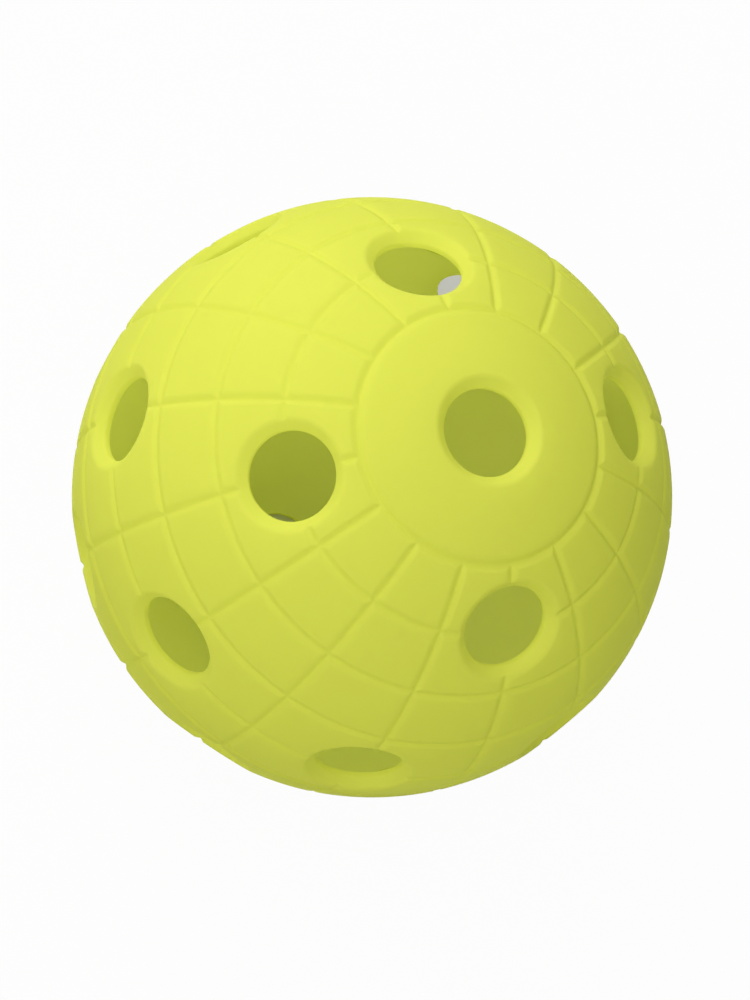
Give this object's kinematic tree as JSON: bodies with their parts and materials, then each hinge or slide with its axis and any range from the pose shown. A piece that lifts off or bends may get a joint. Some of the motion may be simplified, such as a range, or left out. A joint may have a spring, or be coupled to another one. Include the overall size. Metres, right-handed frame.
{
  "type": "floorball ball",
  "caption": "Hollow lime-yellow plastic ball of two welded half shells, with round holes through its wall and a grid of fine grooves; used to play floorball.",
  "frame": {"origin": "centre of the ball, in the plane of the seam", "axes": "+Z along the pole axis out of the upper half's pole hole; +X towards one hole of the upper half's inner ring"},
  "size_m": [0.072, 0.072, 0.071],
  "materials": {
    "ball_plastic": "satin moulded polyethylene, lime yellow",
    "weld_plastic": "melted and cooled weld bead of the same plastic"
  },
  "bodies": {
    "root": {"upper_half_shell": "ball_plastic", "lower_half_shell": "ball_plastic", "weld_bead": "weld_plastic"}
  },
  "joints": []
}
